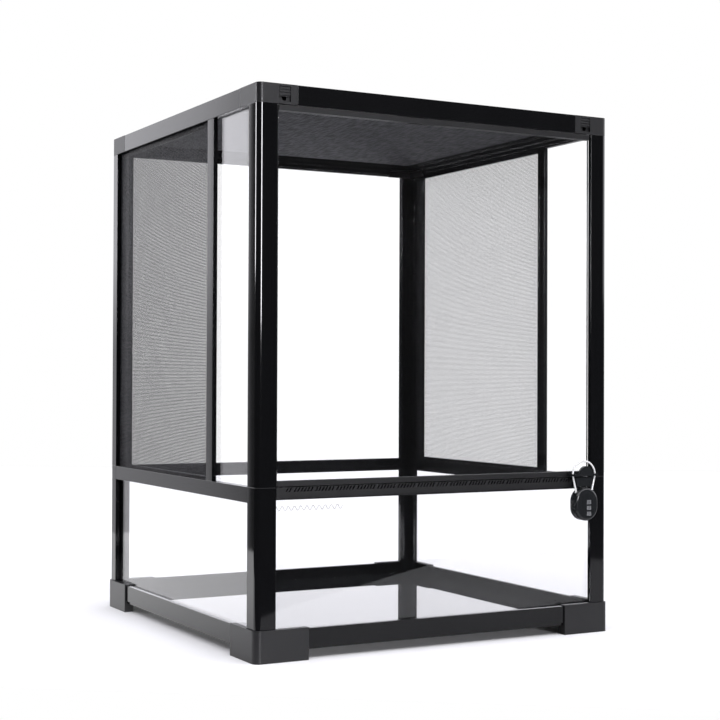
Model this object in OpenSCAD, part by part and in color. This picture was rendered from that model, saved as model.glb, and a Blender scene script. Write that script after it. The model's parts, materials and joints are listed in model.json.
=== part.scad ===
// Glass terrarium with a hinged front door, screened sides, a lift-off screen lid
// and a combination cable lock. Millimetres, +Z up, the front faces -Y.
// The origin is on the floor, in the middle of the whole object's box.

/* [Cabinet] */
// Width over the frame
cab_w = 454; // [360:2:600]
// Depth over the frame
cab_d = 452; // [380:2:600]
// Height from the floor to the top of the frame
cab_h = 606; // [480:2:900]
// Radius of the frame's upright outer corners
corner_r = 6; // [4:0.5:8]

/* [Panes and profiles] */
// Thickness of the glass panes
glass_t = 4; // [3:0.5:5]
// Depth of the frame's outer skin in front of the panes
skin_t = 5.3; // [4.5:0.1:7]
// Thickness of the lips that hold the panes from inside
lip_t = 2.7; // [2:0.1:4]
// How far the panes' edges stand inside a profile's slot
pane_grip = 10; // [8:0.5:12]
// Thickness of the wire screens
screen_t = 0.8; // [0.5:0.1:1.2]

/* [Base] */
// Height of the feet
foot_h = 34.5; // [30:0.5:45]
// Length of a foot's arm along the base
foot_arm = 61; // [45:1:90]
// How far a foot stands proud of the frame
foot_proud = 2; // [1:0.1:3]
// Thickness of a foot's lip over the base rail
foot_lip = 1.3; // [1:0.1:2]
// Wall of the moulded feet
foot_wall = 2.5; // [2:0.1:3]
// Depth of the recess under a foot
foot_hollow = 6; // [3:0.5:7]
// Underside of the base rails above the floor
base_z = 14; // [12:0.5:18]
// Depth of the base rail's ledge for the bottom pane
ledge_w = 16; // [14:0.5:20]
// Thickness of the base rail's ledge
ledge_t = 3; // [2.5:0.1:4]
// Depth of the ledge's underside below the rail's
ledge_drop = 3; // [0.5:0.5:3.5]
// How far the ledge is set back from the rail's face
ledge_in = 1.5; // [1:0.1:3]

/* [Posts] */
// Width of a post's face on the front and the rear
post_face = 23.2; // [19:0.1:28]
// Width of a front post's face on the side
post_side = 22.8; // [18:0.1:24]
// Width of a rear post's face on the side
rear_side = 19.5; // [13:0.5:22]
// Reach of a front post's inner lips from the corner
front_lip = 16.5; // [14:0.5:20]
// Reach of a rear post's inner lip along the rear
rear_lip = 24.5; // [18:0.5:28]
// Reach of a rear post's inner lip along the side
rear_side_lip = 24.5; // [18:0.5:28]

/* [Middle rails] */
// Height of the middle rails' top, where the posts divide
mid_z = 182.5; // [150:0.5:240]
// Height of a middle rail
mid_h = 16.8; // [14:0.2:24]
// Thickness of the web between the upper and lower panes
mid_web = 6; // [4:0.5:8]

/* [Vent bar] */
// Height of the front vent bar
vent_h = 11.2; // [10:0.2:14]
// Depth of the vent bar's channel
vent_d = 14; // [12:0.5:20]
// Wall of the vent bar
vent_wall = 1.6; // [1.2:0.1:2]
// Distance from one slanted slot to the next
slot_pitch = 3.85; // [3.4:0.05:4.6]
// Width of a slot
slot_w = 1.7; // [1:0.1:2]
// Height of a slot
slot_h = 4.6; // [3:0.1:6]
// How far a slot leans to the right over its height
slot_lean = 2.6; // [0:0.1:4]
// Slots to a group
slot_group = 6; // [4:1:10]
// Slots in the short group in the middle
slot_middle = 4; // [2:1:8]
// Plain bar added between groups
group_gap = 2; // [1:0.1:4]
// Least plain bar between the post and a slot's middle
slot_margin = 10.4; // [10:0.1:20]
// Plain bar above the slots
slot_rim = 0.3; // [0.2:0.1:1]

/* [Side panels] */
// Distance from the front face to a mullion
mullion_y = 117; // [90:0.2:170]
// Width of a mullion's outer face
mullion_w = 17.2; // [16:0.2:24]
// Width of a mullion's web between the pane and the screen
mullion_web = 4; // [3:0.5:6]
// How much of the pane's edge lies behind a mullion's face
pane_behind = 7.8; // [6:0.1:9]
// Border of a side screen's frame at the top and bottom
screen_rim = 9; // [6:0.5:12]
// Reach of a side screen's frame from the cabinet's rear face
rear_reach = 45; // [30:1:60]
// Openings that stand for the mesh along a screen's longer side
mesh_count = 12; // [8:1:12]
// Width of the bars between those openings
mesh_bar = 4; // [2:0.5:8]

/* [Top] */
// Height of the top rails
top_h = 21; // [20:0.5:26]
// Length of a top connector's arm
joint_arm = 46; // [42:0.5:60]
// How far the connectors' inner lips hang below the rails'
joint_drop = 3; // [0:0.5:5]
// Depth of the top rails' rim
rim_d = 10; // [9:0.5:14]
// Reach of the lid's ledge from the outer face
seat_d = 17; // [15:0.5:20]
// Depth of the lid's ledge below the frame's top
seat_drop = 12; // [10:0.5:14]
// Thickness of the lid's ledge
seat_t = 2.5; // [2:0.1:4]

/* [Lid] */
// Height of the lid's frame
lid_h = 10; // [9:0.5:11]
// Reach of the lid's frame from the cabinet's outer face
lid_reach = 22.4; // [20.5:0.1:30]
// Thickness of the shelf under the lid's screen
shelf_t = 3.5; // [2:0.1:5]
// Height of the lid's screen above the bottom of its frame
lid_screen_z = 6; // [5.2:0.1:6.5]
// Ledge left bare inside the lid's frame
lid_short = 0.5; // [0.3:0.1:1]
// Diameter of the cord that holds the lid's screen
spline_d = 2.8; // [2:0.1:3.2]

/* [Latches] */
// Width of a latch's pad
latch_w = 13; // [10:0.2:14]
// Height of a latch's pad
latch_h = 10.5; // [9:0.1:11]
// Distance of a latch's middle from the side of the cabinet
latch_x = 31.4; // [30.5:0.1:33]
// Depth of a latch's recess
latch_d = 3; // [2.4:0.1:3.4]
// Travel of a latch, downwards
latch_travel = 5; // [3:0.1:5]
// Ribs on a latch
latch_ribs = 3; // [2:1:4]

/* [Door] */
// Gap between the door and the posts
door_gap = 2; // [1.5:0.1:3]
// Gap above and below the door
door_play = 0.8; // [0.6:0.1:1.2]
// Depth of the door's strips
strip_d = 8; // [7:0.5:9]
// Height of the door's strips
strip_h = 6; // [5:0.1:8]
// How far the door stands behind the frame's face
door_back = 1; // [0.5:0.1:1.6]
// Distance of the hinge pins from the door's edge
hinge_x = 6; // [5:0.1:6.5]
// Radius of the hinge pins
pin_r = 1.5; // [1.2:0.1:1.8]
// Length of the hinge pins
pin_len = 2.6; // [2:0.1:2.8]

/* [Lock] */
// Distance of the lock's middle from the cabinet's right side
lock_x = 39.5; // [38:0.5:80]
// Distance of the cable's plane in front of the frame
lock_out = 9; // [8.6:0.1:12]
// Radius of the cable's bow
bow_r = 15.9; // [15:0.1:17]
// Radius of the cable
cable_r = 1.1; // [0.9:0.1:1.2]
// Half the distance between the cable's ends
leg_x = 11.5; // [10.5:0.1:12]
// Radius of the body's round ends
body_r = 15.9; // [15:0.1:17]
// Height of the lock's body
body_h = 38.3; // [36:0.1:44]
// Thickness of the lock's body
body_t = 13.5; // [12.5:0.1:15]
// Rounding of the body's edges
body_edge = 3; // [1:0.5:4]
// Distance from the bow's axis down to the body
body_drop = 14.7; // [14.5:0.1:18]
// How far the cable's lower bends lie below the body's top
leg_dip = 3; // [2:0.1:3.5]
// How far the dials' middle lies below the body's
dial_drop = 4.2; // [3:0.1:4.6]
// Radius of a number dial
dial_r = 5.8; // [5:0.1:6]
// Height of a number dial
dial_h = 4.4; // [3.6:0.1:4.8]
// Distance from one dial to the next
dial_pitch = 6.7; // [6.5:0.1:7.5]
// Thickness of the door's lug
lug_t = 2.6; // [2:0.1:3]
// How far the lug reaches in front of the cable
lug_over = 5; // [4:0.1:6]
// Radius of the pull tab on the lug
tab_r = 9; // [7:0.1:10]
// How far the keeper reaches in front of the cable
keeper_over = 2.5; // [2:0.1:4]
// Gap between the keeper and the lock's body
keeper_gap = 0.9; // [0.6:0.1:2]

/* [Fits] */
// Gap beside pieces that slide or swing
slide_gap = 0.3; // [0.25:0.05:0.5]
// Radial clearance of pins and dials in their bores
pin_fit = 0.05; // [0.03:0.01:0.1]

/* [Hidden] */
$fn = 48;

eps = 0.01;
frame_black = "#1c1d1f";
rail_black = "#2b2c2e";
glass_tint = [0.86, 0.93, 0.92, 0.3];
dark_glass = [0.1, 0.11, 0.12, 0.9];
screen_grey = "#6d6f72";
steel = "#b9bcc0";
dial_grey = "#d8d9da";

// Depths from an outer face
pane_back = skin_t + glass_t;
lip_back = pane_back + lip_t;

// Heights of the base
ledge_z = base_z - ledge_drop;
bottom_z = ledge_z + ledge_t;
floor_z = bottom_z + glass_t;
base_top = foot_h - foot_lip;

// Heights of the middle and the top
mid_low = mid_z - mid_h;
web_z = mid_low + (mid_h - mid_web) / 2;
web_top = web_z + mid_web;
top_z = cab_h - top_h;
pane_seat = 4;
pane_top = top_z + pane_seat;
lip_low = 1.5;
joint_lip_z = top_z + lip_low - joint_drop;
seat_z = cab_h - seat_drop;

// Side panels, as distances from the front face
mullion_end = mullion_y + mullion_w;
web_start = mullion_y + pane_behind;
web_end = web_start + mullion_web;
screen_start = web_end;
screen_end = cab_d - pane_grip;
mesh_end = cab_d - rear_reach;
mesh_low = web_top + screen_rim;
mesh_high = pane_top - screen_rim;

// Panes between the posts
pane_in = cab_w / 2 - pane_grip;

// Vent bar
vent_top = mid_z;
vent_low = vent_top - vent_h;
slot_end = cab_w / 2 - post_face - slot_margin;
group_step = slot_group * slot_pitch + group_gap;
group_start = (slot_middle + 1) * slot_pitch / 2 + group_gap;
group_count = ceil((slot_end - group_start) / group_step);
slot_z = vent_top - slot_h - slot_rim;

// Latches, each a pad on a stem with a wider head
latch_rim = 2.4;
pad_top = cab_h - latch_rim - slide_gap;
pad_low = pad_top - latch_h;
stem_w = 4.4;
head_w = 8;
head_h = 5;
neck_d = 3;
head_low = pad_low + 1.5;
rib_out = 0.8;

// Lid
lid_edge = rim_d + slide_gap;
lid_top = seat_z + lid_h;
wall_in = seat_d - lid_short;
screen_z = seat_z + lid_screen_z;
spline_in = wall_in + slide_gap + spline_d / 2;
spline_bend = 2 * spline_d;

// Door
door_left = -cab_w / 2 + post_face + door_gap;
door_w = cab_w - 2 * (post_face + door_gap);
door_low = vent_top + door_play;
door_top = top_z - door_play;
door_mid = door_back + strip_d / 2;
strip_floor = 1.6;
hinge_at = door_left + hinge_x;
boss_wall = 2;
boss_h = 5;
pane_front = door_mid - glass_t / 2;

// Lock, with its middle at lock_at and its bow's axis at bow_z
lock_at = cab_w / 2 - lock_x;
lug_z = door_low + 1;
bow_z = lug_z + lug_t / 2;
eye_r = 1.7;
eye_wall = 1;
tab_t = 3.5;
lug_out = lock_out + lug_over;
lug_back = 1.2;
keeper_out = lock_out + keeper_over;
keeper_top = door_low - slide_gap;
keeper_low = bow_z - body_drop + keeper_gap;
keeper_side = 1.4;
leg_low = bow_z - body_drop - leg_dip;
leg_slope = (bow_r - leg_x) / (bow_z - leg_low);
leg_len = norm([bow_r - leg_x, bow_z - leg_low]);
leg_tilt = atan2(bow_r - leg_x, bow_z - leg_low);
leg_root = 5;
ferrule_r = cable_r * 1.14;
body_z = bow_z - body_drop - body_h / 2;
end_step = body_h / 2 - body_r;
dial_at = 2.6;
dial_fwd = 1.5;
dial_z = body_z - dial_drop;
axle_r = 1.5;
axle_over = 2.5;
axle_len = 2 * dial_pitch + dial_h + 2 * axle_over;
dial_gap = 0.3;
dial_teeth = 10;
notch_r = 0.8;
notch_out = 0.4;
grip_cuts = 7;
grip_r = 0.8;
grip_pitch = 3.3;
seam_r = 40;
seam_w = 0.6;
seam_deep = 0.3;
seam_x = -6.5;
seam_half = 17.4;

// The whole object's box runs from the dials to the rear feet
front_reach = lock_out + dial_fwd + dial_r;
front_y = (front_reach - foot_proud - cab_d) / 2;

// ---- Places: x, y are depths inwards from the chosen outer faces ----

module in_place() {
    translate([0, front_y, 0]) children();
}

module from_side(right) {
    translate([right ? cab_w / 2 : -cab_w / 2, 0, 0])
        mirror([right ? 1 : 0, 0, 0]) children();
}

module from_face(rear) {
    translate([0, rear ? cab_d : 0, 0]) mirror([0, rear ? 1 : 0, 0]) children();
}

module from_corner(right, rear) {
    in_place() from_side(right) from_face(rear) children();
}

// A profile drawn as depth and height, run along the front or rear from x0 to x1
module run_x(x0, x1) {
    translate([x0, 0, 0]) rotate([90, 0, 90]) linear_extrude(x1 - x0) children();
}

// The same profile run along a side from y0 to y1
module run_y(y0, y1) {
    translate([0, y1, 0]) rotate([90, 0, 0]) linear_extrude(y1 - y0) children();
}

// A rectangle from its low corner to its high one
module rect(x0, y0, x1, y1) {
    translate([x0, y0]) square([x1 - x0, y1 - y0]);
}

module block(low, high) {
    translate(low) cube(high - low);
}

// Keeps what lies within a corner rounded to r, grown outwards by proud
module rounded_corner(r, proud, reach, z0, z1) {
    intersection() {
        union() children();
        translate([0, 0, z0]) linear_extrude(z1 - z0) union() {
            translate([r - proud, r - proud]) circle(r);
            rect(r - proud, -proud, reach, reach);
            rect(-proud, r - proud, reach, reach);
        }
    }
}

// ---- Base ----

module base_profile() {
    rect(0, base_z, skin_t, base_top);
    rect(ledge_in, ledge_z, skin_t, base_top);
    rect(ledge_in, ledge_z, ledge_w, bottom_z);
}

// Plan of a rail's mitred end, with its long edge on the outer face
module mitre_plan(len) {
    polygon([
        [-len / 2, 0], [len / 2, 0],
        [len / 2 - ledge_w, ledge_w], [-len / 2 + ledge_w, ledge_w]
    ]);
}

// The plan of the whole frame, rounded at its corners
module frame_plan() {
    for (x = [-1, 1], y = [corner_r, cab_d - corner_r])
        translate([x * (cab_w / 2 - corner_r), y]) circle(corner_r);
    rect(-cab_w / 2 + corner_r, 0, cab_w / 2 - corner_r, cab_d);
    rect(-cab_w / 2, corner_r, cab_w / 2, cab_d - corner_r);
}

module base_rail_x(rear) {
    color(rail_black) in_place() intersection() {
        from_face(rear) run_x(-cab_w / 2, cab_w / 2) base_profile();
        from_face(rear) linear_extrude(foot_h) mitre_plan(cab_w);
        linear_extrude(foot_h) frame_plan();
    }
}

module base_rail_y(right) {
    color(rail_black) in_place() intersection() {
        from_side(right) run_y(0, cab_d) base_profile();
        from_side(right) translate([0, cab_d / 2, 0]) rotate([0, 0, 90])
            mirror([0, 1, 0]) linear_extrude(foot_h) mitre_plan(cab_d);
        linear_extrude(foot_h) frame_plan();
    }
}

module front_base_rail() { base_rail_x(false); }
module rear_base_rail() { base_rail_x(true); }
module left_base_rail() { base_rail_y(false); }
module right_base_rail() { base_rail_y(true); }

// An L round the corner, with arms from the foot's faces to the given depth
module foot_arms(depth, z0, z1) {
    block([-foot_proud, -foot_proud, z0], [foot_arm, depth, z1]);
    block([-foot_proud, -foot_proud, z0], [depth, foot_arm, z1]);
}

// Wall and lip round the rails, on a deck with a recess underneath
module foot(right, rear) {
    over = foot_arm + eps;
    color(frame_black) from_corner(right, rear) difference() {
        rounded_corner(corner_r + foot_proud, foot_proud, foot_arm, 0, foot_h) {
            foot_arms(skin_t, 0, foot_h);
            foot_arms(pane_back, 0, ledge_z);
        }
        rounded_corner(corner_r, 0, over, base_z, base_top)
            block([0, 0, base_z], [over, over, base_top]);
        block([ledge_in, ledge_in, ledge_z], [over, over, base_z + eps]);
        for (turn = [0, 1]) mirror([turn, -turn, 0])
            block([foot_wall - foot_proud, foot_wall - foot_proud, -eps],
                [foot_arm - foot_wall, pane_back - foot_wall, foot_hollow]);
    }
}

module foot_front_left() { foot(false, false); }
module foot_front_right() { foot(true, false); }
module foot_rear_left() { foot(false, true); }
module foot_rear_right() { foot(true, true); }

module bottom_pane() {
    color(dark_glass) in_place() block(
        [-cab_w / 2 + skin_t, skin_t, bottom_z],
        [cab_w / 2 - skin_t, cab_d - skin_t, floor_z]);
}

// ---- Posts ----

// Skin of a post: its faces on the front or rear and on the side
module post_skin(face, side) {
    rect(0, 0, face, skin_t);
    rect(0, 0, skin_t, side);
}

// Core and lips, with a slot for a pane between them and the skin on each side
module post_core(lip_x, lip_y) {
    rect(skin_t, skin_t, pane_grip, pane_grip);
    rect(pane_back, pane_back, lip_x, lip_back);
    rect(pane_back, pane_back, lip_back, lip_y);
}

module lower_post(right, rear) {
    side = rear ? rear_side : post_side;
    lip_x = rear ? rear_lip : front_lip;
    lip_y = rear ? rear_side_lip : front_lip;
    color(frame_black) from_corner(right, rear) {
        rounded_corner(corner_r, 0, cab_w / 2, foot_h, mid_z)
            translate([0, 0, foot_h]) linear_extrude(mid_z - foot_h)
                post_skin(post_face, side);
        translate([0, 0, floor_z]) linear_extrude(mid_z - floor_z)
            post_core(lip_x, lip_y);
    }
}

module lower_post_front_left() { lower_post(false, false); }
module lower_post_front_right() { lower_post(true, false); }
module lower_post_rear_left() { lower_post(false, true); }
module lower_post_rear_right() { lower_post(true, true); }

// The front posts have a core for the side pane's edge to meet, and no slot for a door
module upper_post_front(right) {
    color(frame_black) from_corner(right, false)
        rounded_corner(corner_r, 0, cab_w / 2, mid_z, top_z)
            translate([0, 0, mid_z]) linear_extrude(top_z - mid_z) {
                post_skin(post_face, post_side);
                rect(0, 0, lip_back, pane_grip);
                rect(pane_back, 0, lip_back, front_lip);
            }
}

// The rear posts' lips stop under those of the connectors
module upper_post_rear(right) {
    color(frame_black) from_corner(right, true) {
        rounded_corner(corner_r, 0, cab_w / 2, mid_z, top_z)
            translate([0, 0, mid_z]) linear_extrude(top_z - mid_z)
                post_skin(post_face, rear_side);
        translate([0, 0, mid_z]) linear_extrude(joint_lip_z - mid_z)
            post_core(rear_lip, rear_side_lip);
    }
}

module upper_post_front_left() { upper_post_front(false); }
module upper_post_front_right() { upper_post_front(true); }
module upper_post_rear_left() { upper_post_rear(false); }
module upper_post_rear_right() { upper_post_rear(true); }

// ---- Middle rails: skin, web and lip, each as long as the posts leave room for ----

module mid_rail_y(right) {
    color(rail_black) in_place() from_side(right) {
        run_y(post_side, cab_d - rear_side) rect(0, mid_low, skin_t, mid_z);
        run_y(pane_grip, cab_d - pane_grip) rect(skin_t, web_z, pane_back, web_top);
        run_y(front_lip, cab_d - rear_side_lip)
            rect(pane_back, mid_low, lip_back, mid_z);
    }
}

module left_mid_rail() { mid_rail_y(false); }
module right_mid_rail() { mid_rail_y(true); }

module rear_mid_rail() {
    half = cab_w / 2;
    color(rail_black) in_place() from_face(true) {
        run_x(post_face - half, half - post_face) rect(0, mid_low, skin_t, mid_z);
        run_x(pane_grip - half, half - pane_grip)
            rect(skin_t, web_z, pane_back, web_top);
        run_x(rear_lip - half, half - rear_lip)
            rect(pane_back, mid_low, lip_back, mid_z);
    }
}

// ---- Vent bar: an open-backed channel with slanted slots under the door ----

module vent_slot(x) {
    run = slot_lean / 2;
    translate([x, vent_wall + eps, slot_z]) rotate([90, 0, 0])
        linear_extrude(vent_wall + 2 * eps) polygon([
            [-run - slot_w / 2, 0], [-run + slot_w / 2, 0],
            [run + slot_w / 2, slot_h], [run - slot_w / 2, slot_h]
        ]);
}

// A short group in the middle, and full ones from it to both ends
module vent_slots() {
    for (i = [0 : slot_middle - 1])
        vent_slot((i - (slot_middle - 1) / 2) * slot_pitch);
    for (s = [-1, 1], g = [0 : group_count - 1], i = [0 : slot_group - 1]) {
        x = group_start + g * group_step + i * slot_pitch;
        if (x < slot_end) vent_slot(s * x);
    }
}

module vent_bar() {
    half = cab_w / 2 - post_face;
    color(rail_black) in_place() difference() {
        union() {
            run_x(-half, half) {
                rect(0, vent_low, vent_wall, vent_top);
                rect(0, vent_low, vent_d, vent_low + vent_wall);
                rect(0, vent_top - vent_wall / 2, vent_d, vent_top);
                rect(pane_back, vent_low - lip_t, pane_back + vent_wall, vent_low);
            }
            // post and boss that carry the door's lower pin
            translate([hinge_at, door_mid, vent_low]) cylinder(r = pin_r + boss_wall, h = vent_h);
        }
        vent_slots();
        translate([hinge_at, door_mid, vent_top - boss_h])
            cylinder(r = pin_r + pin_fit, h = boss_h + eps);
    }
}

// ---- Panes ----

module front_lower_pane() {
    color(glass_tint) in_place()
        block([-pane_in, skin_t, floor_z], [pane_in, pane_back, vent_low]);
}

module rear_lower_pane() {
    color(glass_tint) in_place() from_face(true)
        block([-pane_in, skin_t, floor_z], [pane_in, pane_back, web_z]);
}

module rear_upper_pane() {
    color(glass_tint) in_place() from_face(true)
        block([-pane_in, skin_t, web_top], [pane_in, pane_back, pane_top]);
}

module side_lower_pane(right) {
    color(glass_tint) in_place() from_side(right)
        block([skin_t, pane_grip, floor_z], [pane_back, cab_d - pane_grip, web_z]);
}

module side_upper_pane(right) {
    color(glass_tint) in_place() from_side(right)
        block([skin_t, pane_grip, web_top], [pane_back, web_start, pane_top]);
}

module left_lower_pane() { side_lower_pane(false); }
module right_lower_pane() { side_lower_pane(true); }
module left_upper_pane() { side_upper_pane(false); }
module right_upper_pane() { side_upper_pane(true); }

// ---- Mullions: the face covers the screen's edge and the pane's, the web parts them ----

module mullion(right) {
    color(rail_black) in_place() from_side(right) {
        block([0, mullion_y, mid_z], [skin_t, mullion_end, top_z]);
        block([skin_t, web_start, web_top], [pane_back, web_end, pane_top]);
    }
}

module left_mullion() { mullion(false); }
module right_mullion() { mullion(true); }

// ---- Side screens ----

// The frame is open towards the mullion, whose web takes its fourth side
module screen_frame(right) {
    color(frame_black) in_place() from_side(right) difference() {
        block([skin_t + screen_t, screen_start, web_top],
            [pane_back, screen_end, pane_top]);
        block([skin_t, screen_start - eps, mesh_low],
            [pane_back + eps, mesh_end, mesh_high]);
    }
}

// Openings in a field w by h, parted by bars
module mesh_openings(w, h) {
    step = (max(w, h) + mesh_bar) / mesh_count;
    columns = max(1, round((w + mesh_bar) / step));
    rows = max(1, round((h + mesh_bar) / step));
    step_x = (w + mesh_bar) / columns;
    step_y = (h + mesh_bar) / rows;
    for (i = [0 : columns - 1], j = [0 : rows - 1])
        translate([i * step_x, j * step_y])
            square([step_x - mesh_bar, step_y - mesh_bar]);
}

module screen(right) {
    color(screen_grey) in_place() from_side(right) translate([skin_t, 0, 0])
        rotate([90, 0, 90]) linear_extrude(screen_t) difference() {
            rect(screen_start, web_top, screen_end, pane_top);
            translate([mullion_end, mesh_low])
                mesh_openings(mesh_end - mullion_end, mesh_high - mesh_low);
        }
}

module left_screen_frame() { screen_frame(false); }
module right_screen_frame() { screen_frame(true); }
module left_screen() { screen(false); }
module right_screen() { screen(true); }

// ---- Top rails and their connectors ----

// Skin over the pane's edge, rim and the ledge that carries the lid
module top_shell() {
    rect(0, top_z, skin_t, pane_top);
    rect(0, pane_top, rim_d, cab_h);
    rect(skin_t, pane_top, lip_back, seat_z);
    rect(skin_t, seat_z - seat_t, seat_d, seat_z);
}

// Lip behind the pane, lower by drop
module top_lip(drop) {
    rect(pane_back, top_z + lip_low - drop, lip_back, seat_z);
}

// The front rail closes onto the door, so it has no slot
module front_top_profile() {
    rect(0, top_z, lip_back, seat_z);
    rect(0, seat_z - seat_t, seat_d, seat_z);
    rect(0, top_z, rim_d, cab_h);
}

module front_top_rail() {
    half = cab_w / 2 - joint_arm;
    color(rail_black) in_place() run_x(-half, half) front_top_profile();
}

module rear_top_rail() {
    half = cab_w / 2 - joint_arm;
    color(rail_black) in_place() from_face(true) run_x(-half, half) {
        top_shell();
        top_lip(0);
    }
}

module side_top_rail(right) {
    color(rail_black) in_place() from_side(right)
        run_y(joint_arm, cab_d - joint_arm) {
            top_shell();
            top_lip(0);
        }
}

module left_top_rail() { side_top_rail(false); }
module right_top_rail() { side_top_rail(true); }

// Recess for a latch's pad, with the T-shaped slot for its stem behind it
module latch_seat() {
    g = slide_gap;
    translate([latch_x, 0, 0]) {
        block([-latch_w / 2 - g, -eps, pad_low - latch_travel - g],
            [latch_w / 2 + g, latch_d, pad_top + g]);
        block([-stem_w / 2 - g, 0, head_low - latch_travel - g],
            [stem_w / 2 + g, rim_d + eps, head_low + head_h + g]);
        block([-head_w / 2 - g, latch_d + neck_d, head_low - latch_travel - g],
            [head_w / 2 + g, rim_d + eps, head_low + head_h + g]);
    }
}

module top_joint(right, rear, hinged) {
    pane_low = top_z - joint_drop - eps;
    pane_end = joint_arm + eps;
    color(frame_black) from_corner(right, rear) difference() {
        rounded_corner(corner_r, 0, joint_arm, top_z - joint_drop, cab_h) union() {
            run_x(0, joint_arm) if (rear) top_shell();
                else front_top_profile();
            run_y(0, joint_arm) top_shell();
            run_y(pane_back, joint_arm) top_lip(rear ? joint_drop : 0);
            if (rear) run_x(pane_back, joint_arm) top_lip(joint_drop);
        }
        // the panes' edges run on into the corner
        block([skin_t, pane_grip, pane_low], [pane_back, pane_end, pane_top]);
        if (rear)
            block([pane_grip, skin_t, pane_low], [pane_end, pane_back, pane_top]);
        latch_seat();
        if (hinged) translate([post_face + door_gap + hinge_x, door_mid, top_z - eps])
            cylinder(r = pin_r + pin_fit, h = pin_len + slide_gap + eps);
    }
}

module top_joint_front_left() { top_joint(false, false, true); }
module top_joint_front_right() { top_joint(true, false, false); }
module top_joint_rear_left() { top_joint(false, true, false); }
module top_joint_rear_right() { top_joint(true, true, false); }

// ---- Latches: ribbed pad, stem and head ----

module latch(right, rear) {
    rib_step = latch_h / (latch_ribs * 2 + 1);
    color(frame_black) from_corner(right, rear) translate([latch_x, 0, 0]) {
        block([-latch_w / 2, rib_out, pad_low],
            [latch_w / 2, latch_d - slide_gap, pad_top]);
        for (i = [0 : latch_ribs - 1])
            translate([0, 0, pad_low + (2 * i + 1) * rib_step])
                block([-latch_w / 2, 0, 0], [latch_w / 2, rib_out, rib_step]);
        block([-stem_w / 2, latch_d - slide_gap, head_low],
            [stem_w / 2, rim_d - slide_gap, head_low + head_h]);
        block([-head_w / 2, latch_d + neck_d + slide_gap, head_low],
            [head_w / 2, rim_d - slide_gap, head_low + head_h]);
    }
}

module latch_front_left() { latch(false, false); }
module latch_front_right() { latch(true, false); }
module latch_rear_left() { latch(false, true); }
module latch_rear_right() { latch(true, true); }

// ---- Lid: a frame on the ledge, with its screen held by a cord ----

// A plan that lies d inside the cabinet's outer faces
module inset_plan(d) {
    rect(-cab_w / 2 + d, d, cab_w / 2 - d, cab_d - d);
}

module ring(d0, d1, z0, z1) {
    translate([0, 0, z0]) linear_extrude(z1 - z0) difference() {
        inset_plan(d0);
        inset_plan(d1);
    }
}

module lid_frame() {
    color(rail_black) in_place() {
        ring(lid_edge, wall_in, seat_z, lid_top);
        ring(wall_in - eps, lid_reach, screen_z - shelf_t, screen_z);
    }
}

module lid_screen() {
    color(screen_grey) in_place() translate([0, 0, screen_z])
        linear_extrude(screen_t) difference() {
            inset_plan(wall_in + slide_gap);
            translate([lid_reach - cab_w / 2, lid_reach])
                mesh_openings(cab_w - 2 * lid_reach, cab_d - 2 * lid_reach);
        }
}

// The cord runs straight along the sides and bends round the corners
module lid_spline() {
    z = screen_z + screen_t + spline_d / 2;
    near = spline_in + spline_bend;
    color(frame_black) in_place() translate([0, 0, z]) {
        for (rear = [false, true]) from_face(rear)
            translate([near - cab_w / 2, spline_in, 0]) rotate([0, 90, 0])
                cylinder(d = spline_d, h = cab_w - 2 * near);
        for (right = [false, true]) from_side(right) {
            translate([spline_in, near, 0]) rotate([-90, 0, 0])
                cylinder(d = spline_d, h = cab_d - 2 * near);
            for (rear = [false, true]) from_face(rear) translate([near, near, 0])
                rotate([0, 0, 180]) rotate_extrude(angle = 90)
                    translate([spline_bend, 0]) circle(d = spline_d);
        }
    }
}

// ---- Door ----

module door_pane() {
    color(glass_tint) in_place()
        block([door_left, pane_front, door_low + strip_floor],
            [door_left + door_w, pane_front + glass_t, door_top - strip_floor]);
}

// A channel that grips the pane, with its hinge pin
module door_strip(z0, groove_z, pin_z) {
    color(rail_black) in_place() {
        difference() {
            block([door_left, door_back, z0],
                [door_left + door_w, door_back + strip_d, z0 + strip_h]);
            block([door_left - eps, pane_front, groove_z],
                [door_left + door_w + eps, pane_front + glass_t, groove_z + strip_h]);
        }
        translate([hinge_at, door_mid, pin_z]) cylinder(r = pin_r, h = pin_len + eps);
    }
}

module door_top_strip() {
    door_strip(door_top - strip_h, door_top - strip_floor - strip_h,
        door_top - eps);
}

module door_bottom_strip() {
    door_strip(door_low, door_low + strip_floor, door_low - pin_len);
}

// Lug with two eyes for the cable and a half-round pull tab between them. Behind the
// frame's face it is no wider than the door leaves room for.
module door_lug() {
    half = bow_r + eye_r + eye_wall;
    neck = min(half - eye_r, door_left + door_w - lock_at);
    color(frame_black) in_place() translate([lock_at, 0, 0]) {
        difference() {
            union() {
                block([-half + eye_r, -lug_out, lug_z],
                    [half - eye_r, -slide_gap, lug_z + lug_t]);
                for (x = [-bow_r, bow_r]) translate([x, -lock_out, lug_z])
                    cylinder(r = eye_r + eye_wall, h = lug_t);
            }
            for (x = [-bow_r, bow_r]) translate([x, -lock_out, lug_z - eps])
                cylinder(r = eye_r, h = lug_t + 2 * eps);
        }
        block([-neck, -slide_gap - eps, lug_z], [neck, door_back, lug_z + lug_t]);
        block([-neck, door_back - lug_back, lug_z],
            [neck, door_back, door_low + strip_h]);
        difference() {
            translate([0, tab_t - lug_out, lug_z + lug_t])
                rotate([90, 0, 0]) cylinder(r = tab_r, h = tab_t);
            block([-tab_r, -lug_out - eps, lug_z - tab_r],
                [tab_r, 0, lug_z + lug_t - eps]);
        }
    }
}

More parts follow.
